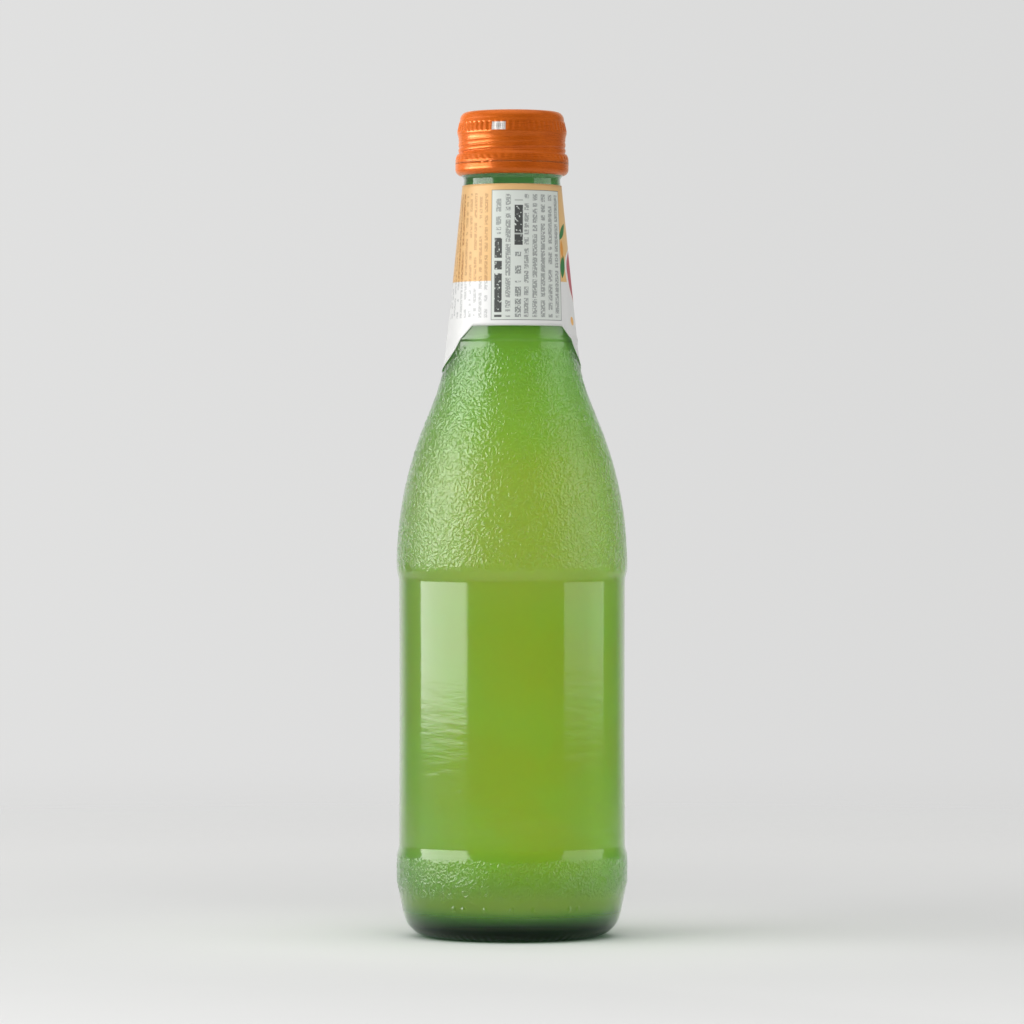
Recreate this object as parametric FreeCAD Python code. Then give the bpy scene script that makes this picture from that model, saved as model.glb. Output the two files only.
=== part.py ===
"""A 330 ml long-neck bottle of orangeade: green glass with a drink inside, a die-cut paper
label round the neck and a one-piece roll-on aluminium screw cap with a tamper band.

Frame: millimetres, +Z up, origin at the middle of the standing ring. The label's plain back
faces -Y and its picture side faces +Y."""
import FreeCAD, Part
import math
import os

V = FreeCAD.Vector

# ---------------------------------------------------------------- driving dimensions, mm
# overall
overall_height = 218.6          # floor to the top of the cap
panel_radius = 30.05            # smooth recessed cylinder, at its two ends
panel_waist = 0.12              # how much slimmer the panel is half-way up
band_radius = 30.68             # the two pebbled bands stand proud of the panel

# base and heel
pushup_height = 3.2             # hollow under the base, at its middle
ring_inner_radius = 19.6        # flat standing ring
ring_outer_radius = 21.4
heel_radius = 7.6               # round from the standing ring into the heel
heel_taper = math.radians(12)   # heel leans out by this much
band_start_z = 15.2             # where the heel has turned upright
band_low_top_z = 20.8           # lower pebbled band ends, step in begins
panel_bottom_z = 26.2
panel_top_z = 93.2
band_high_start_z = 98.2        # step out ends, shoulder begins

# shoulder and neck
shoulder_radius = 100.0         # bulging part of the shoulder
shoulder_lean = math.radians(21.8)   # steepest part of the shoulder, from upright
throat_radius = 56.0            # hollow curve into the neck
neck_top_radius = 12.85         # neck just under the cap
neck_top_z = 200.2
neck_mid_radius = 17.22         # neck at the foot of the label
neck_mid_z = 157.0
bead_z = 157.7                  # fine mould line under the label
bead_height = 0.22
bead_half_width = 0.75

# glass
wall = 2.5                      # body and shoulder wall
base_inner_edge_z = 5.0         # floor of the bottle near the wall
base_inner_dome_z = 7.2         # floor of the bottle in the middle
inner_heel_radius = 6.5
lock_ring_radius = 13.95        # ring that the tamper band grips
lock_ring_z = (202.4, 204.3)
finish_radius = 12.55           # threadless stretch under the cap
lip_z = 218.15                  # sealing lip
bore_radius = 9.7
bore_start_z = 203.0
lip_round = 0.9

# raised mould dots on the heel, back side
dot_z = 8.8
dot_radius = 0.62
dot_proud = 0.34
dot_angles = (-31.2, -25.7, -13.9, 0.0, 10.9, 30.5, 35.8)   # degrees round from -Y to +X

# drink
fill_z = 177.6                  # level of 330 ml

# label
paper = 0.15
paper_gap = 0.03                # glue line between glass and paper
label_top_z = 199.0
label_back_z = 161.5            # straight lower edge on the back
label_front_z = 149.2           # lower edge everywhere else
label_turn = 6.5                # the back's middle is turned towards +X, degrees
# lower edge: degrees from the back's middle, share of the drop from back level to front level
label_edge = ((0, 0.0), (44.5, 0.0), (58.8, 0.31), (64.4, 0.48), (70, 0.61), (76, 0.715),
              (83, 0.81), (90, 0.885), (98, 0.95), (108, 1.0), (180, 1.0))
label_columns = 60

# cap
cap_wall = 0.28
cap_top_radius = 12.3           # flat of the top, before the rounded corner
cap_lip_radius = 13.3           # rolled-in foot of the tamper band
cap_bottom_z = 201.65
tamper_radius = 15.04
slit_z = (204.70, 205.02)
bridge_angles = (-31.3, -23.4, 22.9, 68.0, 113.0, 158.0, 203.0, 248.0, 293.0)
bridge_width = 1.0
flute_count = 56
flute_foot = (14.56, 213.6)     # radius and height on the grip's surface
flute_head = (14.06, 215.7)
flute_radius = 0.62
flute_depth = 0.11


# ---------------------------------------------------------------- helpers
def pt(r, z):
    return V(r, 0, z)


class Outline:
    """Edges in the XZ half plane, one after another, to spin about Z."""

    def __init__(self, r, z):
        self.at = (r, z)
        self.edges = []

    def line(self, r, z):
        if abs(r - self.at[0]) > 1e-7 or abs(z - self.at[1]) > 1e-7:
            self.edges.append(Part.LineSegment(pt(*self.at), pt(r, z)).toShape())
            self.at = (r, z)
        return self

    def arc(self, mid, end):
        self.edges.append(Part.Arc(pt(*self.at), pt(*mid), pt(*end)).toShape())
        self.at = end
        return self

    def round(self, centre, radius, start, end):
        """Arc about centre from angle start to angle end, degrees from +R towards +Z."""
        def on(a):
            return (centre[0] + radius * math.cos(math.radians(a)),
                    centre[1] + radius * math.sin(math.radians(a)))
        self.line(*on(start))
        return self.arc(on((start + end) / 2), on(end))

    def ease(self, r, z):
        """S-shaped step between two upright stretches: two equal tangent arcs."""
        r0, z0 = self.at
        dr, dz = r - r0, z - z0
        turn = 2 * math.atan2(abs(dr), abs(dz))
        big = abs(dz) / (2 * math.sin(turn))
        half = turn / 2
        s = 1 if dr > 0 else -1
        u = 1 if dz > 0 else -1
        q1 = (r0 + s * big * (1 - math.cos(half)), z0 + u * big * math.sin(half))
        mid = (r0 + dr / 2, z0 + dz / 2)
        q2 = (r - s * big * (1 - math.cos(half)), z - u * big * math.sin(half))
        self.arc(q1, mid)
        return self.arc(q2, (r, z))

    def spline(self, points):
        curve = Part.BSplineCurve()
        curve.interpolate([pt(*self.at)] + [pt(*p) for p in points])
        self.edges.append(curve.toShape())
        self.at = points[-1]
        return self

    def spin(self):
        wire = Part.Wire(self.edges)
        solid = Part.Face(wire).revolve(V(0, 0, 0), V(0, 0, 1), 360)
        if solid.ShapeType != "Solid":
            solid = solid.Solids[0]
        return solid


def shoulder_chain(inset):
    """Corner points of shoulder and neck, moved inwards by inset square to the surface."""
    a = shoulder_lean
    b = math.atan2(neck_mid_radius - neck_top_radius, neck_top_z - neck_mid_z)
    c1 = (band_radius - shoulder_radius, band_high_start_z)
    p1 = (c1[0] + shoulder_radius * math.cos(a), c1[1] + shoulder_radius * math.sin(a))
    dr = -throat_radius * (math.cos(b) - math.cos(a))
    dz = throat_radius * (math.sin(a) - math.sin(b))
    on_cone = neck_top_radius + math.tan(b) * neck_top_z
    run = (on_cone - (p1[0] + dr) - math.tan(b) * (p1[1] + dz)) / (
        math.cos(a) * math.tan(b) - math.sin(a))
    p2 = (p1[0] - run * math.sin(a), p1[1] + run * math.cos(a))
    c2 = (p2[0] + throat_radius * math.cos(a), p2[1] + throat_radius * math.sin(a))
    rv, rc = shoulder_radius - inset, throat_radius + inset

    def bulge(t):
        return (c1[0] + rv * math.cos(t), c1[1] + rv * math.sin(t))

    def throat(t):
        return (c2[0] - rc * math.cos(t), c2[1] - rc * math.sin(t))

    def cone(z):
        return (neck_top_radius - (z - neck_top_z) * math.tan(b) - inset / math.cos(b), z)

    return {"a": a, "b": b, "bulge": bulge, "throat": throat, "cone": cone}


def shoulder_up(o, inset, z_end, bead=False):
    """Draws shoulder, throat and neck cone from the current point up to z_end."""
    c = shoulder_chain(inset)
    o.line(*c["bulge"](0))
    o.arc(c["bulge"](c["a"] / 2), c["bulge"](c["a"]))
    o.line(*c["throat"](c["a"]))
    o.arc(c["throat"]((c["a"] + c["b"]) / 2), c["throat"](c["b"]))
    if bead:
        low, high = c["cone"](bead_z - bead_half_width), c["cone"](bead_z + bead_half_width)
        top = c["cone"](bead_z)
        o.line(*low)
        o.arc((top[0] + bead_height, bead_z), high)
    o.line(*c["cone"](z_end))
    return c


# ---------------------------------------------------------------- glass bottle
def outer_outline():
    o = Outline(0, pushup_height)
    # hollow under the base, then the flat standing ring
    o.arc((ring_inner_radius * 0.55, pushup_height * 0.74), (ring_inner_radius - 0.9, 0.55))
    o.arc((ring_inner_radius - 0.55, 0.16), (ring_inner_radius, 0))
    o.line(ring_outer_radius, 0)
    # heel: round, leaning cone, then upright
    cz = heel_radius
    end = (ring_outer_radius + heel_radius * math.cos(heel_taper),
           cz - heel_radius * math.sin(heel_taper))
    mid_a = -(math.pi / 2 + heel_taper) / 2
    o.arc((ring_outer_radius + heel_radius * math.cos(mid_a),
           cz + heel_radius * math.sin(mid_a)), end)
    # the round that brings the heel upright at the band
    rest = band_radius - end[0]
    up = band_start_z - end[1]
    t = heel_taper
    big = (up * math.tan(t) - rest) / (math.sin(t) * math.tan(t) - (1 - math.cos(t)))
    start = (band_radius - big * (1 - math.cos(t)), band_start_z - big * math.sin(t))
    o.line(*start)
    o.arc((band_radius - big * (1 - math.cos(t / 2)), band_start_z - big * math.sin(t / 2)),
          (band_radius, band_start_z))
    o.line(band_radius, band_low_top_z)
    # step in, slightly waisted smooth panel, step out
    o.ease(panel_radius, panel_bottom_z)
    o.spline([(panel_radius - panel_waist, (panel_bottom_z + panel_top_z) / 2),
              (panel_radius, panel_top_z)])
    o.ease(band_radius, band_high_start_z)
    shoulder_up(o, 0, neck_top_z, bead=True)
    # finish under the cap
    r, z = o.at
    o.arc((r + 0.02, z + 0.55), (r + 0.5, z + 1.25))
    o.line(lock_ring_radius, lock_ring_z[0])
    o.line(lock_ring_radius, lock_ring_z[1] - 0.5)
    o.line(lock_ring_radius - 0.5, lock_ring_z[1])
    o.line(finish_radius, lock_ring_z[1] + 0.5)
    o.line(finish_radius, lip_z - lip_round)
    o.round((finish_radius - lip_round, lip_z - lip_round), lip_round, 0, 90)
    return o


def inner_up(o, z_end=None):
    """Draws the inner wall of the glass from the axis upwards: to z_end, or to the lip."""
    r = panel_radius - wall
    o.arc((r * 0.42, base_inner_dome_z - 0.55), (r - inner_heel_radius - 1.2, base_inner_edge_z))
    o.line(r - inner_heel_radius, base_inner_edge_z)
    k = inner_heel_radius * math.sqrt(0.5)
    o.arc((r - inner_heel_radius + k, base_inner_edge_z + inner_heel_radius - k),
          (r, base_inner_edge_z + inner_heel_radius))
    o.line(r, panel_top_z)
    o.ease(band_radius - wall, band_high_start_z)
    if z_end is not None:
        shoulder_up(o, wall, z_end)
        return o
    shoulder_up(o, wall, neck_top_z - 1.0)
    o.line(bore_radius, bore_start_z)
    o.line(bore_radius, lip_z - 0.5)
    o.line(bore_radius + 0.5, lip_z)
    return o


outside = outer_outline()
inside = inner_up(Outline(0, base_inner_dome_z))
outside.line(*inside.at)
axis_edge = Part.LineSegment(pt(0, base_inner_dome_z), pt(0, pushup_height)).toShape()
wire = Part.Wire(outside.edges + list(reversed(inside.edges)) + [axis_edge])
glass = Part.Face(wire).revolve(V(0, 0, 0), V(0, 0, 1), 360)

heel_r = ring_outer_radius + heel_radius * math.cos(heel_taper) + (
    dot_z - (heel_radius - heel_radius * math.sin(heel_taper))) * math.tan(heel_taper)
for angle in dot_angles:
    a = math.radians(angle)
    sink = heel_r + dot_proud - dot_radius
    dot = Part.makeSphere(dot_radius, V(sink * math.sin(a), -sink * math.cos(a), dot_z))
    glass = glass.fuse(dot)
glass = glass.removeSplitter()
if glass.ShapeType != "Solid":
    glass = glass.Solids[0]

# ---------------------------------------------------------------- drink, up to its level
drink_side = inner_up(Outline(0, base_inner_dome_z), fill_z)
drink_side.line(0, fill_z)
drink_side.line(0, base_inner_dome_z)
drink = drink_side.spin()

# ---------------------------------------------------------------- neck label
def skin_radius(z, out):
    """Radius of the glass's outer wall at height z, moved out by out: throat, mould line, cone."""
    c = shoulder_chain(-out)
    seam = c["throat"](c["b"])[1]
    if z < seam:
        a = math.asin((c["throat"](0)[1] - z) / (throat_radius - out))
        return c["throat"](a)[0]
    swell = max(0.0, 1 - ((z - bead_z) / (bead_half_width + 0.1)) ** 2)
    return c["cone"](z)[0] + bead_height * swell


def edge_height(turn):
    """Height of the label's lower edge, turn degrees away from the back's middle: level
    across the back, then an S-curve down to the front's level."""
    t = abs((turn + 180) % 360 - 180)
    for (t0, f0), (t1, f1) in zip(label_edge, label_edge[1:]):
        if t <= t1:
            return label_back_z - (label_back_z - label_front_z) * (f0 + (f1 - f0) * (t - t0) / (t1 - t0))


# The paper is a closed skin of small flat faces: columns round the neck, and in each column
# rows from the die-cut edge up to the straight top. Rows crowd round the mould line.
columns = []
for i in range(label_columns):
    turn = 360.0 * i / label_columns
    low = edge_height(turn)
    levels = [low] + [low + (bead_z - 1.0 - low) * k / 3.0 for k in (1, 2, 3)] if low < bead_z - 3 else [
        low + 0.02 * k for k in range(4)]
    crown = [bead_z + d for d in (-0.45, 0.0, 0.45, 0.9)]
    if levels[-1] > crown[0]:
        crown = [levels[-1] + 0.02 * k for k in (1, 2, 3, 4)]
    levels += crown + [label_top_z]
    a = math.radians(turn + label_turn)
    columns.append([[V(skin_radius(z, out) * math.sin(a), -skin_radius(z, out) * math.cos(a), z)
                     for z in levels] for out in (paper_gap, paper_gap + paper)])
faces = []


def patch(p, q, r, s):
    """Two flat triangles over a four-cornered patch."""
    for tri in ((p, q, r), (p, r, s)):
        faces.append(Part.Face(Part.makePolygon(list(tri) + [tri[0]])))


for i in range(label_columns):
    (in0, out0), (in1, out1) = columns[i], columns[(i + 1) % label_columns]
    for k in range(len(in0) - 1):
        patch(out0[k], out1[k], out1[k + 1], out0[k + 1])
        patch(in0[k + 1], in1[k + 1], in1[k], in0[k])
    patch(in0[0], in1[0], out1[0], out0[0])
    patch(out0[-1], out1[-1], in1[-1], in0[-1])
label = Part.Solid(Part.Shell(faces))
if label.Volume < 0:
    label.reverse()

# ---------------------------------------------------------------- screw cap
def cap_skirt(inset):
    """Skirt stations from the tamper band up to the rounded top, moved in by inset."""
    beads = []
    for z, r in ((208.3, 14.02), (209.05, 14.22), (209.7, 14.08), (210.35, 14.26), (211.2, 14.04)):
        beads += [(r, z - 0.14), (r, z + 0.14)]
    stations = [(tamper_radius, 203.35), (tamper_radius, 205.2), (14.90, 206.5), (14.42, 207.4)]
    stations += beads
    stations += [(14.30, 212.0), (14.53, 212.9), (14.56, 213.6), (14.06, 215.7), (13.46, 216.9)]
    return [(r - inset, z) for r, z in stations]


cap = Outline(cap_lip_radius, cap_bottom_z)
skirt = cap_skirt(0)
cap.arc((tamper_radius - 0.42, 202.28), skirt[0])
for station in skirt[1:]:
    cap.line(*station)
cap.arc((13.05, 218.12), (cap_top_radius, overall_height))
cap.line(0, overall_height)
cap.line(0, overall_height - cap_wall - 0.17)
cap.line(cap_top_radius - 0.1, overall_height - cap_wall - 0.17)
inner = cap_skirt(cap_wall)
cap.arc((13.05 - cap_wall * 0.8, 218.12 - cap_wall * 0.9), inner[-1])
for station in reversed(inner[:-1]):
    cap.line(*station)
cap.arc((tamper_radius - 0.42 - cap_wall * 0.7, 202.28 + cap_wall * 0.7),
        (cap_lip_radius, cap_bottom_z + cap_wall))
cap.line(cap_lip_radius, cap_bottom_z)
closure = cap.spin()

# perforation under the skirt, left whole at the bridges
ring = Part.makeCylinder(tamper_radius + 1, slit_z[1] - slit_z[0], V(0, 0, slit_z[0])).cut(
    Part.makeCylinder(tamper_radius - 1, slit_z[1] - slit_z[0], V(0, 0, slit_z[0])))
for angle in bridge_angles:
    keep = Part.makeBox(bridge_width, 3.0, 2.0,
                        V(-bridge_width / 2, -tamper_radius - 1.5, slit_z[0] - 0.8))
    keep.rotate(V(0, 0, 0), V(0, 0, 1), angle)
    ring = ring.cut(keep)
closure = closure.cut(ring)

# flutes round the grip
lean = math.atan2(flute_foot[0] - flute_head[0], flute_head[1] - flute_foot[1])
for i in range(flute_count):
    tool = Part.makeCylinder(flute_radius, flute_head[1] - flute_foot[1] + 0.9, V(0, 0, -0.4))
    tool.rotate(V(0, 0, 0), V(0, 1, 0), math.degrees(-lean))
    tool.translate(V(flute_foot[0] + flute_radius - flute_depth, 0, flute_foot[1]))
    tool.rotate(V(0, 0, 0), V(0, 0, 1), 360.0 * (i + 0.5) / flute_count)
    closure = closure.cut(tool)
if closure.ShapeType != "Solid":
    closure = max(closure.Solids, key=lambda s: s.Volume)

# ---------------------------------------------------------------- write
os.makedirs("parts", exist_ok=True)
for name, shape in (("glass_bottle", glass), ("orangeade", drink),
                    ("neck_label", label), ("screw_cap", closure)):
    box = shape.optimalBoundingBox()
    print("%-13s valid %s solids %d volume %.1f mm3  x %.2f..%.2f  y %.2f..%.2f  z %.2f..%.2f" % (
        name, shape.isValid(), len(shape.Solids), shape.Volume,
        box.XMin, box.XMax, box.YMin, box.YMax, box.ZMin, box.ZMax))
    shape.exportStep("parts/%s.step" % name)

bore = inner_up(Outline(0, base_inner_dome_z))
bore.line(0, lip_z)
bore.line(0, base_inner_dome_z)
brim = bore.spin()
print("brimful %.1f ml, filled %.1f ml, glass %.1f g" % (
    brim.Volume / 1000, drink.Volume / 1000, glass.Volume * 2.5 / 1000))
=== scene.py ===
"""Looks of the orangeade bottle: pebbled green glass, cloudy drink, printed neck label,
lacquered screw cap, on a pale floor in soft studio light. Metres, +Z up."""
import bpy
import math
import numpy as np
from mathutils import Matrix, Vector


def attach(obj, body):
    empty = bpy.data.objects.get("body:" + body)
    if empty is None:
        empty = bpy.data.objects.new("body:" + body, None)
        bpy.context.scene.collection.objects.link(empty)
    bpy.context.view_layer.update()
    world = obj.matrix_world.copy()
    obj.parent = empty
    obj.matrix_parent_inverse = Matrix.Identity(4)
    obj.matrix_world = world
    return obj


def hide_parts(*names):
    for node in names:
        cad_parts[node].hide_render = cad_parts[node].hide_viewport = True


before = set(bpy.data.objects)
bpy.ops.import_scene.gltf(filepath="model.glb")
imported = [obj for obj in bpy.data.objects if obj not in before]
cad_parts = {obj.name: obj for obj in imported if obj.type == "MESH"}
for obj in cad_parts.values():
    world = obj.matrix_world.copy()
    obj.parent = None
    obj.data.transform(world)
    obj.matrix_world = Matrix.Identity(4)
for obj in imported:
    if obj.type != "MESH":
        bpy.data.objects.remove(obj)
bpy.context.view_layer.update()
scene = bpy.context.scene
MM = 0.001


# ------------------------------------------------------------------ sizes, mm (as in the CAD)
BAND_R, PANEL_R, WAIST = 30.68, 30.05, 0.12
PUSHUP, RING_IN, RING_OUT, HEEL_R, TAPER = 3.2, 19.6, 21.4, 7.6, math.radians(12)
BAND_START, BAND_LOW_TOP, PANEL_LOW, PANEL_HIGH, BAND_HIGH = 15.2, 20.8, 24.4, 93.9, 98.2
R_SHOULDER, LEAN, R_THROAT = 100.0, math.radians(21.8), 56.0
NECK_R, NECK_TOP, NECK_MID_R, NECK_MID_Z = 12.85, 200.2, 17.22, 157.0
BEAD_Z, BEAD_H, BEAD_W = 158.2, 0.24, 0.85
WALL, FLOOR_EDGE, FLOOR_DOME, HEEL_IN = 2.5, 5.0, 7.2, 6.5
LOCK_R, LOCK_Z, FINISH_R, LIP_Z, BORE_R, BORE_Z = 13.95, (202.4, 204.3), 12.55, 218.15, 9.7, 203.0
FILL_Z = 177.6
LABEL_TOP, LABEL_BACK, LABEL_FRONT, LABEL_TURN = 199.0, 161.5, 149.2, 6.5
LABEL_EDGE = ((0, 0.0), (44.5, 0.0), (58.8, 0.31), (64.4, 0.48), (70, 0.61), (76, 0.715),
              (83, 0.81), (90, 0.885), (98, 0.95), (108, 1.0), (180, 1.0))


# ------------------------------------------------------------------ profile helpers
class Path2:
    """A line of (r, z) points made of lines and arcs, for spinning about Z."""

    def __init__(self, r, z):
        self.p = [(r, z)]

    def line(self, r, z, n=1):
        r0, z0 = self.p[-1]
        if abs(r - r0) + abs(z - z0) < 1e-6:
            return self
        for k in range(1, n + 1):
            self.p.append((r0 + (r - r0) * k / n, z0 + (z - z0) * k / n))
        return self

    def about(self, c, rad, a0, a1, n):
        for k in range(0, n + 1):
            a = a0 + (a1 - a0) * k / n
            q = (c[0] + rad * math.cos(a), c[1] + rad * math.sin(a))
            if abs(q[0] - self.p[-1][0]) + abs(q[1] - self.p[-1][1]) > 1e-5:
                self.p.append(q)
        return self

    def arc(self, mid, end, n):
        (x1, y1), (x2, y2), (x3, y3) = self.p[-1], mid, end
        d = 2 * (x1 * (y2 - y3) + x2 * (y3 - y1) + x3 * (y1 - y2))
        ux = ((x1**2 + y1**2) * (y2 - y3) + (x2**2 + y2**2) * (y3 - y1) + (x3**2 + y3**2) * (y1 - y2)) / d
        uy = ((x1**2 + y1**2) * (x3 - x2) + (x2**2 + y2**2) * (x1 - x3) + (x3**2 + y3**2) * (x2 - x1)) / d
        rad = math.hypot(x1 - ux, y1 - uy)
        a0, am, a1 = (math.atan2(y - uy, x - ux) for x, y in ((x1, y1), (x2, y2), (x3, y3)))
        turn = (a1 - a0) % (2 * math.pi)
        if (am - a0) % (2 * math.pi) > turn:
            turn -= 2 * math.pi
        return self.about((ux, uy), rad, a0, a0 + turn, n)

    def ease(self, r, z, n):
        r0, z0 = self.p[-1]
        turn = 2 * math.atan2(abs(r - r0), abs(z - z0))
        big, half = abs(z - z0) / (2 * math.sin(turn)), turn / 2
        s, u = (1 if r > r0 else -1), (1 if z > z0 else -1)
        self.arc((r0 + s * big * (1 - math.cos(half)), z0 + u * big * math.sin(half)),
                 ((r0 + r) / 2, (z0 + z) / 2), n)
        return self.arc((r - s * big * (1 - math.cos(half)), z - u * big * math.sin(half)), (r, z), n)


def chain(inset):
    """Shoulder, throat and neck cone, moved inwards by inset."""
    a = LEAN
    b = math.atan2(NECK_MID_R - NECK_R, NECK_TOP - NECK_MID_Z)
    c1 = (BAND_R - R_SHOULDER, BAND_HIGH)
    p1 = (c1[0] + R_SHOULDER * math.cos(a), c1[1] + R_SHOULDER * math.sin(a))
    dr, dz = -R_THROAT * (math.cos(b) - math.cos(a)), R_THROAT * (math.sin(a) - math.sin(b))
    on_cone = NECK_R + math.tan(b) * NECK_TOP
    run = (on_cone - (p1[0] + dr) - math.tan(b) * (p1[1] + dz)) / (
        math.cos(a) * math.tan(b) - math.sin(a))
    p2 = (p1[0] - run * math.sin(a), p1[1] + run * math.cos(a))
    c2 = (p2[0] + R_THROAT * math.cos(a), p2[1] + R_THROAT * math.sin(a))
    rv, rc = R_SHOULDER - inset, R_THROAT + inset

    def cone(z):
        return NECK_R - (z - NECK_TOP) * math.tan(b) - inset / math.cos(b)

    return dict(a=a, b=b, c1=c1, c2=c2, rv=rv, rc=rc, cone=cone)


def shoulder(o, inset, z_end, step, bead=False):
    """Adds shoulder, throat and cone to a Path2, with points about step mm apart."""
    c = chain(inset)
    o.about(c["c1"], c["rv"], 0, c["a"], max(6, int(c["rv"] * c["a"] / step)))
    end = (c["c2"][0] - c["rc"] * math.cos(c["a"]), c["c2"][1] - c["rc"] * math.sin(c["a"]))
    o.line(*end, n=max(2, int(math.dist(end, o.p[-1]) / step)))
    o.about(c["c2"], c["rc"], math.pi + c["a"], math.pi + c["b"],
            max(5, int(c["rc"] * (c["a"] - c["b"]) / step)))
    if bead:
        o.line(c["cone"](BEAD_Z - BEAD_W - 0.25), BEAD_Z - BEAD_W - 0.25, 2)
        for k in range(-6, 7):
            z = BEAD_Z + BEAD_W * 1.25 * k / 6
            o.line(c["cone"](z) + BEAD_H * (0.5 + 0.5 * math.cos(math.pi * k / 6)), z)
    o.line(c["cone"](z_end), z_end, n=max(3, int((z_end - o.p[-1][1]) / 4)))
    return o


def skin_radius(z, out):
    """Radius of the glass's outer wall on the neck, moved out by out."""
    c = chain(-out)
    seam = c["c2"][1] - c["rc"] * math.sin(c["b"])
    if z < seam:
        a = math.asin(min(1.0, (c["c2"][1] - z) / c["rc"]))
        return c["c2"][0] - c["rc"] * math.cos(a)
    k = (z - BEAD_Z) / (BEAD_W * 1.25)
    return c["cone"](z) + (BEAD_H * (0.5 + 0.5 * math.cos(math.pi * k)) if abs(k) < 1 else 0.0)


# ------------------------------------------------------------------ smooth noise on a cylinder
def lattice(seed, n=64):
    return np.random.default_rng(seed).standard_normal((n, n, n))


_lat = lattice(11)


def noise3(p, scale, seed=0):
    """Smooth value noise at points p (N x 3, mm) with features about scale mm apart."""
    q = p / scale + np.array([17.3, 41.9, 8.7]) * (seed + 1)
    i = np.floor(q).astype(int)
    f = q - i
    f = f * f * f * (f * (f * 6 - 15) + 10)
    n = _lat.shape[0]
    out = 0
    for dx in (0, 1):
        wx = f[:, 0] if dx else 1 - f[:, 0]
        for dy in (0, 1):
            wy = f[:, 1] if dy else 1 - f[:, 1]
            for dz in (0, 1):
                wz = f[:, 2] if dz else 1 - f[:, 2]
                out = out + wx * wy * wz * _lat[(i[:, 0] + dx) % n, (i[:, 1] + dy) % n, (i[:, 2] + dz) % n]
    return out


def smooth(a, lo, hi):
    t = np.clip((a - lo) / (hi - lo), 0, 1)
    return t * t * (3 - 2 * t)


def mesh_object(name, verts, faces, shade=True):
    me = bpy.data.meshes.new(name)
    me.from_pydata([tuple(v) for v in verts], [], [tuple(int(i) for i in f) for f in faces])
    me.validate()
    me.update()
    if shade:
        me.polygons.foreach_set("use_smooth", [True] * len(me.polygons))
    ob = bpy.data.objects.new(name, me)
    scene.collection.objects.link(ob)
    return ob


def spin_grid(path, columns, phase=0.0):
    """Points of a spun path: (rows, columns, 3) in mm, angle 0 at -Y turning towards +X."""
    p = np.array(path)
    t = 2 * np.pi * (np.arange(columns) + phase) / columns
    r, z = p[:, 0][:, None], p[:, 1][:, None]
    return np.stack([r * np.sin(t), -r * np.cos(t), z + 0 * t], axis=-1), t


def grid_faces(rows, columns, base=0, flip=False):
    i = np.arange(rows - 1)[:, None]
    j = np.arange(columns)[None, :]
    k = (j + 1) % columns
    a, b, c, d = base + i * columns + j, base + i * columns + k, base + (i + 1) * columns + k, base + (i + 1) * columns + j
    q = np.stack([a, b, c, d], axis=-1).reshape(-1, 4)
    return q[:, ::-1] if flip else q


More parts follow.
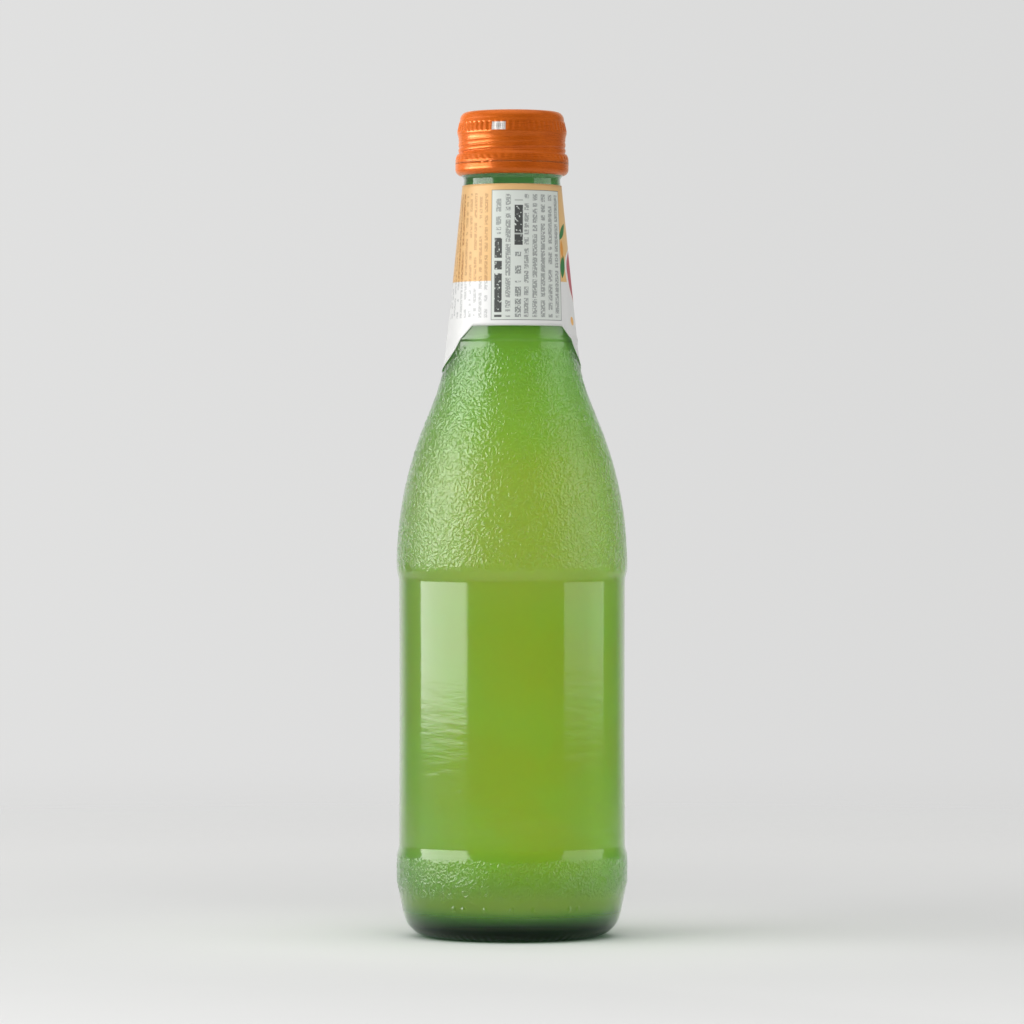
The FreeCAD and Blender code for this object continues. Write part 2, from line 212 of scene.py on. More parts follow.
# ------------------------------------------------------------------ node helpers
class Graph:
    """Short hand for building a material's nodes; plain numbers are set on the sockets."""

    def __init__(self, name):
        self.mat = bpy.data.materials.new(name)
        self.mat.use_nodes = True
        self.tree = self.mat.node_tree
        self.tree.nodes.clear()

    def node(self, kind, ins=(), **props):
        n = self.tree.nodes.new(kind)
        for k, v in props.items():
            setattr(n, k, v)
        items = ins.items() if isinstance(ins, dict) else enumerate(ins)
        for k, v in items:
            if v is None:
                continue
            if isinstance(v, bpy.types.NodeSocket):
                self.tree.links.new(v, n.inputs[k])
            else:
                n.inputs[k].default_value = v
        return n

    def m(self, op, a, b=None, c=None, clamp=False):
        return self.node("ShaderNodeMath", [a, b, c], operation=op, use_clamp=clamp).outputs[0]

    def step(self, x, lo, hi):
        """0 below lo, 1 above hi, smooth between."""
        n = self.node("ShaderNodeMapRange", {"Value": x, "From Min": lo, "From Max": hi},
                      interpolation_type="SMOOTHSTEP")
        return n.outputs[0]

    def box(self, u, v, u0, u1, v0, v1, e=0.05):
        """Soft-edged rectangle mask."""
        du = self.m("SUBTRACT", self.m("ABSOLUTE", self.m("SUBTRACT", u, (u0 + u1) / 2)), (u1 - u0) / 2)
        dv = self.m("SUBTRACT", self.m("ABSOLUTE", self.m("SUBTRACT", v, (v0 + v1) / 2)), (v1 - v0) / 2)
        return self.step(self.m("MAXIMUM", du, dv), e, -e)

    def mix(self, mask, a, b):
        n = self.node("ShaderNodeMix", data_type="RGBA")
        for k, v in ((0, mask), (6, a), (7, b)):
            if isinstance(v, bpy.types.NodeSocket):
                self.tree.links.new(v, n.inputs[k])
            else:
                n.inputs[k].default_value = v if k == 0 else (*v, 1.0)
        return n.outputs[2]

    def noise(self, vec, scale, detail=2.0, rough=0.5, dims="3D"):
        n = self.node("ShaderNodeTexNoise", {"Vector": vec, "Scale": scale, "Detail": detail,
                                             "Roughness": rough}, noise_dimensions=dims)
        return n.outputs[0]

    def place(self):
        """Object coordinates in mm."""
        t = self.node("ShaderNodeTexCoord").outputs["Object"]
        n = self.node("ShaderNodeVectorMath", [t, (1000.0, 1000.0, 1000.0)], operation="MULTIPLY")
        return n.outputs[0]

    def bump(self, height, strength, distance, normal=None):
        n = self.node("ShaderNodeBump", {"Height": height, "Strength": strength, "Distance": distance})
        if normal is not None:
            self.tree.links.new(normal, n.inputs["Normal"])
        return n.outputs[0]

    def surface(self, ins, volume=None, lamps=None):
        """One Principled shader to the output, optional volume shader. lamps is the tint with
        which lamp light passes straight through, so that what is inside is lit without noise."""
        p = self.node("ShaderNodeBsdfPrincipled", ins)
        out = self.node("ShaderNodeOutputMaterial")
        top = p.outputs[0]
        if lamps is not None:
            path = self.node("ShaderNodeLightPath").outputs
            clear = self.node("ShaderNodeBsdfTransparent", {"Color": lamps})
            either = self.m("MAXIMUM", path["Is Shadow Ray"], path["Is Diffuse Ray"])
            top = self.node("ShaderNodeMixShader", [either, top, clear.outputs[0]]).outputs[0]
        self.tree.links.new(top, out.inputs["Surface"])
        if volume is not None:
            self.tree.links.new(volume, out.inputs["Volume"])
        return self.mat


def lin(r, g, b):
    """Linear colour of a 0-255 display colour."""
    return tuple(((c / 255 + 0.055) / 1.055) ** 2.4 if c > 10 else c / 255 / 12.92 for c in (r, g, b))


# ------------------------------------------------------------------ glass bottle
def outer_rows():
    """Outer wall from the middle of the base up to the lip."""
    o = Path2(0.6, PUSHUP - 0.003)
    o.arc((RING_IN * 0.55, PUSHUP * 0.74), (RING_IN - 0.9, 0.55), 9)
    o.arc((RING_IN - 0.55, 0.16), (RING_IN, 0), 5)
    o.line(RING_OUT, 0, 2)
    end_a = -TAPER
    o.about((RING_OUT, HEEL_R), HEEL_R, -math.pi / 2, end_a, 24)
    end = o.p[-1]
    rest, up, t = BAND_R - end[0], BAND_START - end[1], TAPER
    big = (up * math.tan(t) - rest) / (math.sin(t) * math.tan(t) - (1 - math.cos(t)))
    start = (BAND_R - big * (1 - math.cos(t)), BAND_START - big * math.sin(t))
    o.line(*start, n=max(1, int(math.dist(start, end) / 0.3)))
    o.about((BAND_R - big, BAND_START), big, -t, 0, max(4, int(big * t / 0.4)))
    o.line(BAND_R, BAND_LOW_TOP, int((BAND_LOW_TOP - BAND_START) / 0.48))
    o.ease(PANEL_R, PANEL_LOW, 7)
    for k in range(1, 17):
        f = k / 16
        o.line(PANEL_R - WAIST * (1 - (2 * f - 1) ** 2), PANEL_LOW + (PANEL_HIGH - PANEL_LOW) * f)
    o.ease(BAND_R, BAND_HIGH, 7)
    c = chain(0)
    o.about(c["c1"], c["rv"], 0, c["a"], int(c["rv"] * c["a"] / 0.54))
    tip = (c["c2"][0] - c["rc"] * math.cos(c["a"]), c["c2"][1] - c["rc"] * math.sin(c["a"]))
    o.line(*tip, n=max(1, int(math.dist(tip, o.p[-1]) / 0.54)))
    o.about(c["c2"], c["rc"], math.pi + c["a"], math.pi + c["b"], int(c["rc"] * (c["a"] - c["b"]) / 0.58))
    o.line(c["cone"](BEAD_Z - BEAD_W - 0.25), BEAD_Z - BEAD_W - 0.25, 1)
    for k in range(-6, 7):
        z = BEAD_Z + BEAD_W * 1.25 * k / 6
        o.line(c["cone"](z) + BEAD_H * (0.5 + 0.5 * math.cos(math.pi * k / 6)), z)
    o.line(c["cone"](NECK_TOP), NECK_TOP, 6)
    r, z = o.p[-1]
    o.arc((r + 0.02, z + 0.55), (r + 0.5, z + 1.25), 4)
    o.line(LOCK_R - 0.15, LOCK_Z[0]).line(LOCK_R, LOCK_Z[0] + 0.15)
    o.line(LOCK_R, LOCK_Z[1] - 0.5).line(LOCK_R - 0.5, LOCK_Z[1]).line(FINISH_R, LOCK_Z[1] + 0.5)
    o.line(FINISH_R, LIP_Z - 0.9, 3)
    o.about((FINISH_R - 0.9, LIP_Z - 0.9), 0.9, 0, math.pi / 2, 4)
    return o.p


def inner_rows(inset=0.0, top=None):
    """Inner wall from the middle of the floor up; inset moves it out into the glass."""
    r = PANEL_R - WALL + inset
    o = Path2(0.6, FLOOR_DOME - inset)
    o.arc((r * 0.42, FLOOR_DOME - 0.55 - inset), (r - HEEL_IN - 1.2, FLOOR_EDGE - inset), 8)
    o.line(r - HEEL_IN, FLOOR_EDGE - inset)
    o.about((r - HEEL_IN, FLOOR_EDGE + HEEL_IN - inset), HEEL_IN, -math.pi / 2, 0, 10)
    o.line(r, PANEL_HIGH, 6)
    o.ease(BAND_R - WALL + inset, BAND_HIGH, 4)
    if top is not None:
        return shoulder(o, WALL - inset, top, 4.0).p
    shoulder(o, WALL, NECK_TOP - 1.0, 5.0)
    o.line(BORE_R, BORE_Z, 2).line(BORE_R, LIP_Z - 0.5, 2).line(BORE_R + 0.5, LIP_Z)
    return o.p


DOTS = (-31.2, -25.7, -13.9, 0.0, 10.9, 30.5, 35.8)
DOT_Z, DOT_R, DOT_PROUD = 8.8, 0.62, 0.34


def glass_columns():
    """Column angles, crowded round the mould dots so that they come out round."""
    t = set(np.round(np.arange(280) * 360.0 / 280, 4))
    for d in DOTS:
        near = [a for a in t if abs((a - d + 180) % 360 - 180) < 1.6]
        t -= set(near)
        t |= {round((d + k) % 360, 4) for k in (-1.6, -1.25, -1.0, -0.75, -0.4, 0, 0.4, 0.75, 1.0, 1.25, 1.6)}
    return np.radians(np.array(sorted(t)))


def join_rings(ta, base_a, tb, base_b):
    """Triangles between two rings of points given by their angles, counted from base_a and base_b."""
    tri, i, j, n, m = [], 0, 0, len(ta), len(tb)
    while i < n or j < m:
        next_a = ta[(i + 1) % n] + (2 * np.pi if i + 1 >= n else 0)
        next_b = tb[(j + 1) % m] + (2 * np.pi if j + 1 >= m else 0)
        if j >= m or (i < n and next_a <= next_b):
            tri.append((base_a + i % n, base_a + (i + 1) % n, base_b + j % m))
            i += 1
        else:
            tri.append((base_a + i % n, base_b + (j + 1) % m, base_b + j % m))
            j += 1
    return tri


def build_glass():
    t = glass_columns()
    n = len(t)
    out, inn = np.array(outer_rows()), np.array(inner_rows())
    r, z = out[:, 0][:, None], out[:, 1][:, None]
    s, c = np.sin(t)[None, :], -np.cos(t)[None, :]
    # square to the wall, in the (r, z) plane
    d = np.gradient(out, axis=0)
    nr, nz = d[:, 1], -d[:, 0]
    ln = np.hypot(nr, nz)
    nr, nz = (nr / ln)[:, None], (nz / ln)[:, None]
    R, Z = r + 0 * s, z + 0 * s
    P = np.stack([R * s, R * c, Z], axis=-1).reshape(-1, 3)
    # pebbled zones: crossing worm-like ridges, faded out at the borders of the bands
    za = Z.reshape(-1)
    on = (smooth(za, 98.6, 101.5) + 0.55 * smooth(za, 96.6, 98.6) * (1 - smooth(za, 98.6, 101.5))) * (
        1 - smooth(za, 153.5, 156.5)) + smooth(za, 10.0, 13.0) * (1 - smooth(za, 20.6, 22.4))
    live = on > 0.001
    q = P[live]
    warp = np.stack([noise3(q, 3.1, k) for k in (3, 4, 5)], axis=-1) * 0.55
    a = noise3(q + warp * 0.6, 0.92, 0)
    b = noise3(q + warp * 0.6, 0.74, 1)
    worm = np.exp(-(a / 0.42) ** 2) * 0.75 + 0.35 * np.clip(b, -1, 1)
    worm = smooth(worm, -0.25, 1.05)
    depth = np.zeros(len(P))
    depth[live] = -PEBBLE * (1 - worm) * on[live]
    # slow waviness of blown glass, everywhere on the side wall
    side = smooth(za, 6, 14) * (1 - smooth(za, 158, 163))
    w = side > 0
    depth[w] -= 0.030 * side[w] * (0.5 + 0.5 * np.clip(noise3(P[w] * np.array([1, 1, 0.6]), 14.0, 6), -1, 1))
    # slanting mould ridge on the shoulder
    th = np.degrees(np.broadcast_to(t, Z.shape)).reshape(-1)
    line = 53.6 + (za - 96.0) * (61.0 - 53.6) / 12.0 - 1.1 * np.sin(np.pi * (za - 96) / 12)
    rr = R.reshape(-1)
    away = np.radians(th - line) * rr
    seam = np.exp(-(away / 0.28) ** 2) * smooth(za, 94.5, 96.5) * (1 - smooth(za, 107.5, 109.5))
    depth = depth * (1 - seam) + 0.04 * seam * smooth(za, 99, 103)
    # stippled bearing edge: short bumps round the foot
    foot = smooth(rr, 21.0, 21.5) * (1 - smooth(za, 1.3, 2.2)) * smooth(za, -0.1, 0.12)
    depth -= 0.16 * foot * (0.5 + 0.5 * np.cos(np.radians(th) * 73))
    # mould dots
    heel = RING_OUT + HEEL_R * math.cos(TAPER) + (DOT_Z - (HEEL_R - HEEL_R * math.sin(TAPER))) * math.tan(TAPER)
    for dd in DOTS:
        dx = np.radians((th - dd + 180) % 360 - 180) * heel
        dz = (za - DOT_Z) / math.cos(TAPER)
        k = np.sqrt(dx * dx + dz * dz) / (DOT_R * 1.05)
        depth += np.where(k < 1, DOT_PROUD * np.sqrt(np.clip(1 - k * k, 0, 1)), 0)
    depth = depth.reshape(Z.shape)
    R, Z = R + depth * nr, Z + depth * nz
    top = np.stack([R * s, R * c, Z], axis=-1)
    # the inner wall is smooth, so it has fewer columns; a ring of triangles joins the two
    m = 96
    low, ti = spin_grid(inn[::-1], m)
    rows, rows_in = len(top), len(low)
    verts = np.concatenate([top.reshape(-1, 3), low.reshape(-1, 3),
                            [[0, 0, PUSHUP], [0, 0, FLOOR_DOME]]]) * MM
    first = rows * n
    faces = [f for f in grid_faces(rows, n)] + [f for f in grid_faces(rows_in, m, first)]
    faces += join_rings(t, (rows - 1) * n, ti, first)
    base, floor = first + rows_in * m, first + rows_in * m + 1
    faces += [(base, (j + 1) % n, j) for j in range(n)]
    last = first + (rows_in - 1) * m
    faces += [(floor, last + j, last + (j + 1) % m) for j in range(m)]
    print("glass", rows, n, rows_in, "triangles", 2 * (rows - 1) * n + n + 2 * rows_in * m)
    return mesh_object("glass_bottle_looks", verts, faces)


PEBBLE = 0.115
glass = build_glass()


def glass_material():
    g = Graph("green_glass")
    p = g.place()
    z = g.node("ShaderNodeSeparateXYZ", [p]).outputs[2]
    # the pebbles end in a ragged line
    zr = g.m("MULTIPLY_ADD", g.m("SUBTRACT", g.noise(p, 0.40, 1.0, 0.5), 0.5), 5.0, z)
    band = g.m("MULTIPLY", g.step(zr, 96.6, 99.6), g.step(zr, 157.0, 154.0))
    foot = g.m("MULTIPLY", g.step(zr, 10.5, 13.0), g.step(z, 22.4, 20.6))
    zone = g.m("ADD", band, foot)
    soft = g.m("MULTIPLY", g.step(z, 5.5, 7.0), g.step(z, 166.0, 163.0))
    # pebbles: short crossing ridges about a millimetre apart
    a = g.noise(p, 0.78, 1.0, 0.5)
    b = g.noise(g.node("ShaderNodeVectorMath", [p, (31.0, 17.0, 5.0)], operation="ADD").outputs[0], 1.25, 0.0)
    ridge = g.m("SUBTRACT", 1.0, g.m("ABSOLUTE", g.m("MULTIPLY", g.m("SUBTRACT", a, 0.5), 6.0)), clamp=True)
    h = g.m("MULTIPLY", g.m("ADD", g.m("MULTIPLY", ridge, 0.75), b), zone)
    lying = g.node("ShaderNodeVectorMath", [p, (1.0, 1.0, 3.2)], operation="MULTIPLY").outputs[0]
    slow = g.m("MULTIPLY", g.noise(lying, 0.13, 3.0, 0.5), 0.16)
    nrm = g.bump(g.m("ADD", h, slow), 1.0, GLASS_BUMP)
    rough = g.m("MULTIPLY", soft, 0.28)
    # the foot's thick glass holds back the light that the wall lets through
    x, y = g.node("ShaderNodeSeparateXYZ", [p]).outputs[:2]
    r = g.m("SQRT", g.m("ADD", g.m("MULTIPLY", x, x), g.m("MULTIPLY", y, y)))
    under = g.m("MULTIPLY", g.step(r, 23.5, 21.5), g.step(z, 4.2, 3.6))
    tint = g.mix(g.step(z, 4.4, 3.0), (1.0, 1.0, 1.0), (0.30, 0.36, 0.28))
    tint = g.mix(under, tint, (0.04, 0.07, 0.04))
    # thick glass at the foot is near black, the bare neck glows green
    # painted shade: the glass is tinted near black at the foot, partly for its thick glass and partly for the shade
    # under the bottle; painted glow: the bare neck is partly a lit diffuse green instead of clear glass, standing in
    # for light shining through it
    body = g.mix(g.step(z, 4.4, 2.8), (1.0, 1.0, 1.0), (0.12, 0.24, 0.12))
    neck = g.m("MULTIPLY", g.step(z, 198.7, 199.3), g.step(z, 206.0, 203.0))
    body = g.mix(neck, body, (0.13, 0.42, 0.10))
    clear = g.m("MULTIPLY_ADD", neck, -0.45, 1.0)
    vol = g.node("ShaderNodeVolumeAbsorption", {"Color": GLASS_TINT, "Density": GLASS_DENSITY})
    return g.surface({"Base Color": body, "Roughness": rough, "IOR": 1.35, "Transmission Weight": clear,
                      "Coat Weight": g.step(z, 1.8, 5.5), "Coat Roughness": 0.0, "Coat IOR": 1.5,
                      "Specular Tint": (0.25, 0.25, 0.25, 1.0), "Coat Normal": nrm,
                      "Normal": nrm}, vol.outputs[0], lamps=tint)


GLASS_BUMP, GLASS_TINT, GLASS_DENSITY = 0.00017, (0.0, 0.80, 0.25, 1.0), 180.0
glass.data.materials.append(glass_material())

# ------------------------------------------------------------------ drink
def build_drink():
    skin = 0.15
    path = inner_rows(skin, FILL_Z + 0.45)
    r_top = path[-1][0]
    side = Path2(*path[0])
    side.p = list(path)
    # the level creeps up where it meets the glass
    for k, (dr, z) in enumerate(((0.25, 0.28), (0.6, 0.14), (1.1, 0.05), (1.8, 0.0))):
        side.line(r_top - skin - dr, FILL_Z + z)
    side.line(0.6, FILL_Z, 3)
    p = side.p
    n = 128
    grid, _ = spin_grid(p, n)
    rows = len(grid)
    verts = np.concatenate([grid.reshape(-1, 3), [[0, 0, FLOOR_DOME - skin], [0, 0, FILL_Z]]]) * MM
    faces = [f for f in grid_faces(rows, n)]
    for j in range(n):
        k = (j + 1) % n
        faces.append((rows * n, k, j))
        faces.append((rows * n + 1, (rows - 1) * n + j, (rows - 1) * n + k))
    return mesh_object("orangeade_looks", verts, faces)


drink = build_drink()


def drink_material():
    g = Graph("cloudy_orangeade")
    p = g.place()
    cloud = g.noise(p, 0.045, 3.0, 0.55)
    z = g.node("ShaderNodeSeparateXYZ", [p]).outputs[2]
    col = g.mix(g.step(cloud, 0.38, 0.62), (0.78, 0.64, 0.065), (0.82, 0.61, 0.05))
    # painted glow: a brighter, yellower belt under the shoulder
    painted_glow_belt = g.m("MULTIPLY", g.step(z, 82.0, 100.0), g.step(z, 136.0, 116.0))
    col = g.mix(g.m("MULTIPLY", painted_glow_belt, 0.8), col, (0.97, 0.65, 0.12))
    # the drink is paler and less orange towards the neck
    col = g.mix(g.m("MULTIPLY", g.step(z, 112.0, 166.0), 0.85), col, (0.50, 0.60, 0.08))
    # painted shade: the drink is darker towards the bottom, partly for the heel's thick glass dimming it and partly for
    # the shade at the foot
    col = g.mix(g.step(z, 24.0, 9.0), col, (0.50, 0.41, 0.05))
    col = g.mix(g.step(z, 10.0, 4.0), col, (0.26, 0.33, 0.04))
    return g.surface({"Base Color": col, "Roughness": 0.25, "IOR": 1.34, "Specular IOR Level": 0.15,
                      "Subsurface Weight": 1.0, "Subsurface Radius": (1.0, 0.85, 0.25),
                      "Subsurface Scale": 0.012})


drink.data.materials.append(drink_material())

# ------------------------------------------------------------------ screw cap
CAP_WALL, CAP_TOP, SLIT = 0.28, 218.6, (204.82, 204.88)
BRIDGES = (-31.3, -23.4, 22.9, 68.0, 113.0, 158.0, 203.0, 248.0, 293.0)
FLUTES, TEETH = 56, 48


def cap_rows():
    """Outside of the cap from the rolled foot up to the middle of the top."""
    o = Path2(13.3, 201.65)
    o.arc((14.62, 202.28), (15.03, 203.1), 8)
    o.line(15.03, SLIT[0], 4).line(15.03, SLIT[1], 2).line(15.02, 205.35, 2)
    o.arc((14.93, 206.4), (14.5, 207.35), 12)
    o.line(14.24, 207.75, 3)
    o.line(14.20, 211.5, 34)
    o.arc((14.31, 212.1), (14.50, 212.7), 6)
    o.arc((14.56, 213.15), (14.555, 213.55), 3)
    o.line(14.10, 215.72, 14)
    o.line(13.84, 216.35, 3)
    o.arc((13.36, 217.85), (12.3, 218.52), 12)
    o.line(12.0, CAP_TOP - 0.02).line(11.5, CAP_TOP).line(8.0, CAP_TOP - 0.02, 3).line(0.5, CAP_TOP - 0.03, 4)
    return np.array(o.p)


def build_cap():
    n = 448
    p = cap_rows()
    t = 2 * np.pi * np.arange(n) / n
    r, z = p[:, 0][:, None] + 0 * t[None, :], p[:, 1][:, None] + 0 * t[None, :]
    th = t[None, :] + 0 * z
    d = np.gradient(p, axis=0)
    ln = np.hypot(d[:, 0], d[:, 1])
    nr, nz = (d[:, 1] / ln)[:, None], (-d[:, 0] / ln)[:, None]
    push = np.zeros_like(z)
    # thread rolled into the skirt: valleys 1.5 mm apart that rise to the right, deepest at the foot
    wave = (z - 208.35 - 3.0 * th / (2 * np.pi)) / 1.5
    wave -= np.floor(wave)
    valley = np.exp(-(np.minimum(wave, 1 - wave) / 0.19) ** 2)
    zone = smooth(z, 207.0, 207.9) * (1 - smooth(z, 210.9, 212.0))
    push -= valley * zone * (0.10 + 0.17 * (1 - smooth(z, 208.4, 210.4)))
    # flutes of the grip
    f = 0.5 - 0.5 * np.cos(th * FLUTES)
    grip = smooth(z, 212.95, 213.6) * (1 - smooth(z, 215.2, 215.85))
    push -= 0.20 * (1 - f ** 0.7) * grip
    # short slanting teeth above the perforation
    bite = smooth(z, 205.55, 205.95) * (1 - smooth(z, 206.45, 206.95))
    push -= 0.13 * (0.5 + 0.5 * np.cos(th * TEETH + (z - 206.2) * 1.3)) ** 1.4 * bite
    # unevenness of thin rolled metal
    q = np.stack([r * np.sin(th), -r * np.cos(th), z], axis=-1).reshape(-1, 3)
    soft = noise3(q, 4.5, 9).reshape(z.shape)
    push += 0.020 * (np.clip(soft, -1, 1) - 1) * (1 - smooth(z, 218.0, 218.4))
    ro, zo = r + push * nr, z + push * nz
    out = np.stack([ro * np.sin(th), -ro * np.cos(th), zo], axis=-1)
    lo, mid, hi = [int(np.argmin(abs(p[:, 1] - s))) for s in (SLIT[0], sum(SLIT) / 2, SLIT[1])]
    pick = np.unique(np.concatenate([np.arange(0, len(p), 2), [lo, mid, hi, len(p) - 1]]))
    ri, zi = np.maximum(ro - CAP_WALL * nr, 0.3), zo - CAP_WALL * nz
    inner = np.stack([ri * np.sin(th), -ri * np.cos(th), zi], axis=-1)[pick]
    rows, rows_in = len(p), len(pick)
    verts = np.concatenate([out.reshape(-1, 3), inner.reshape(-1, 3),
                            [[0, 0, CAP_TOP - 0.03], [0, 0, CAP_TOP - 0.03 - CAP_WALL]]]) * MM
    first = rows * n
    whole = []
    for j in range(n):
        a = math.degrees(t[j] + t[1] / 2)
        whole.append(any(abs((a - b + 180) % 360 - 180) < math.degrees(0.5 / 15.03) for b in BRIDGES))
    faces = []
    for i in range(rows - 1):
        for j in range(n):
            k = (j + 1) % n
            if lo <= i < hi and not whole[j]:
                continue
            faces.append((i * n + j, i * n + k, (i + 1) * n + k, (i + 1) * n + j))
    for i in range(rows_in - 1):
        a, b = first + i * n, first + (i + 1) * n
        for j in range(n):
            k = (j + 1) % n
            if lo <= pick[i] < hi and not whole[j]:
                continue
            faces.append((a + j, b + j, b + k, a + k))
    at = {row: int(np.where(pick == row)[0][0]) for row in (lo, mid, hi)}
    for j in range(n):
        k = (j + 1) % n
        if not whole[j]:
            faces.append((lo * n + j, lo * n + k, first + at[lo] * n + k, first + at[lo] * n + j))
            faces.append((hi * n + k, hi * n + j, first + at[hi] * n + j, first + at[hi] * n + k))
        if whole[j] != whole[j - 1]:
            side = [row * n + j for row in (lo, mid, hi)] + [first + at[row] * n + j for row in (hi, mid, lo)]
            faces.append(tuple(side if whole[j - 1] else reversed(side)))
        faces.append((k, j, first + j, first + k))
        faces.append(((rows - 1) * n + j, (rows - 1) * n + k, first + rows_in * n))
        faces.append((first + (rows_in - 1) * n + k, first + (rows_in - 1) * n + j, first + rows_in * n + 1))
    print("cap", rows, n, rows_in, "faces", len(faces))
    return mesh_object("screw_cap_looks", verts, faces)


cap = build_cap()
ORANGE_A, ORANGE_B = (0.66, 0.120, 0.002), (0.59, 0.100, 0.0015)


def cap_material():
    g = Graph("orange_lacquer")
    p = g.place()
    x, y, z = g.node("ShaderNodeSeparateXYZ", [p]).outputs[:3]
    arc = g.m("MULTIPLY", g.m("ARCTAN2", x, g.m("MULTIPLY", y, -1.0)), 14.5)
    base = g.mix(g.step(g.noise(p, 0.12, 3.0, 0.55), 0.35, 0.65), ORANGE_A, ORANGE_B)
    # painted shade: darker orange along the perforation slit
    slit_shade = g.m("MULTIPLY", g.step(g.m("ABSOLUTE", g.m("SUBTRACT", z, 204.86)), 0.42, 0.12), 0.6)
    base = g.mix(slit_shade, base, (0.40, 0.08, 0.012))
    # painted reflection: a white window-like highlight in the grip, with a few short grey bars
    painted_reflection = g.box(arc, z, -5.45, -1.75, 213.15, 215.25, 0.16)
    reflection_bars = g.m("MULTIPLY", g.box(arc, z, -4.4, -2.5, 213.65, 214.8, 0.08),
               g.step(g.m("SINE", g.m("MULTIPLY", arc, 12.0)), 0.1, 0.5))
    base = g.mix(painted_reflection, base, (0.86, 0.83, 0.80))
    base = g.mix(g.m("MULTIPLY", reflection_bars, 0.75), base, (0.16, 0.13, 0.12))
    ring = g.node("ShaderNodeCombineXYZ", [g.m("MULTIPLY", arc, 0.25), g.m("MULTIPLY", z, 7.0), 0.0]).outputs[0]
    spun = g.noise(ring, 1.0, 3.0, 0.6)
    rough = g.node("ShaderNodeMapRange", {"Value": spun, "From Min": 0.3, "From Max": 0.7,
                                          "To Min": 0.24, "To Max": 0.33}).outputs[0]
    h = g.m("ADD", g.m("MULTIPLY", spun, 0.35), g.m("MULTIPLY", g.noise(p, 1.4, 2.0, 0.5), 0.65))
    return g.surface({"Base Color": base, "Roughness": rough, "Metallic": 0.25, "IOR": 1.65, "Specular Tint": (1.0, 0.82, 0.50, 1.0),
                      "Sheen Weight": 0.18, "Sheen Roughness": 0.35, "Sheen Tint": (1.0, 0.74, 0.30, 1.0),
                      "Normal": g.bump(h, 0.5, 0.00003)})


cap.data.materials.append(cap_material())

# ------------------------------------------------------------------ neck label
PAPER, GAP = 0.15, 0.03


def label_low(turn):
    t = abs((turn + 180) % 360 - 180)
    for (t0, f0), (t1, f1) in zip(LABEL_EDGE, LABEL_EDGE[1:]):
        if t <= t1:
            return LABEL_BACK - (LABEL_BACK - LABEL_FRONT) * (f0 + (f1 - f0) * (t - t0) / (t1 - t0))


def build_label():
    n, rows = 300, 44
    raw = np.array([label_low(360.0 * k / n) for k in range(n)])
    low = (np.roll(raw, 1) + 2 * raw + np.roll(raw, -1)) / 4
    skins = []
    for out in (GAP + PAPER, GAP):
        grid = np.zeros((rows + 1, n, 3))
        for j in range(n):
            a = 2 * math.pi * j / n + math.radians(LABEL_TURN)
            for i in range(rows + 1):
                z = low[j] + (LABEL_TOP - low[j]) * i / rows
                # the die-cut edge and the top edge curl off the glass a touch
                curl = 0.05 * math.exp(-((z - low[j]) / 0.8) ** 2) + 0.03 * math.exp(-((LABEL_TOP - z) / 0.8) ** 2)
                r = skin_radius(float(z), out) + curl
                grid[i, j] = (r * math.sin(a), -r * math.cos(a), z)
        # faint cockle of glued paper
        q = grid.reshape(-1, 3)
        w = 0.018 * noise3(q * np.array([1, 1, 0.7]), 5.0, 12).reshape(rows + 1, n)
        rr = np.hypot(grid[..., 0], grid[..., 1])
        grid[..., :2] *= (1 + (np.abs(w) / rr))[..., None]
        skins.append(grid)
    verts = np.concatenate([s.reshape(-1, 3) for s in skins]) * MM
    first = (rows + 1) * n
    faces = [f for f in grid_faces(rows + 1, n)] + [f for f in grid_faces(rows + 1, n, first, flip=True)]
    for j in range(n):
        k = (j + 1) % n
        faces.append((k, j, first + j, first + k))
        faces.append((rows * n + j, rows * n + k, first + rows * n + k, first + rows * n + j))
    return mesh_object("neck_label_looks", verts, faces)


label = build_label()


def wrapped(g, x, y, r, degrees):
    """Arc length in mm, on the paper, from the upright line at that angle."""
    a = math.radians(degrees)
    s = g.m("ADD", g.m("MULTIPLY", x, math.cos(a)), g.m("MULTIPLY", y, math.sin(a)))
    c = g.m("SUBTRACT", g.m("MULTIPLY", x, math.sin(a)), g.m("MULTIPLY", y, math.cos(a)))
    return g.m("MULTIPLY", g.m("ARCTAN2", s, c), r)


def speckle(g, u, v, floor_at, size=1.0):
    """Blotchy ink, as of print too small to be read."""
    at = g.node("ShaderNodeCombineXYZ", [g.m("MULTIPLY", u, 2.3 / size), g.m("MULTIPLY", v, 1.9 / size), 0.0]).outputs[0]
    return g.step(g.noise(at, 1.0, 1.0), floor_at - 0.06, floor_at + 0.05)


def dashes(g, u, v, first, pitch, fill, gaps, seed):
    """Upright rows of blind text: solid dashes of uneven length, pitch apart from u = first."""
    k = g.m("DIVIDE", g.m("SUBTRACT", u, first), pitch)
    cell = g.m("FLOOR", k)
    across = g.m("ABSOLUTE", g.m("SUBTRACT", g.m("SUBTRACT", k, cell), 0.5))
    line = g.step(across, fill / 2 + 0.05, fill / 2 - 0.05)
    at = g.node("ShaderNodeCombineXYZ", [g.m("MULTIPLY", v, 0.75), g.m("MULTIPLY", cell, 7.31), seed]).outputs[0]
    word = g.step(g.noise(at, 1.0, 0.0), gaps - 0.02, gaps + 0.03)
    return g.m("MULTIPLY", g.m("MULTIPLY", line, word), speckle(g, u, v, 0.44))


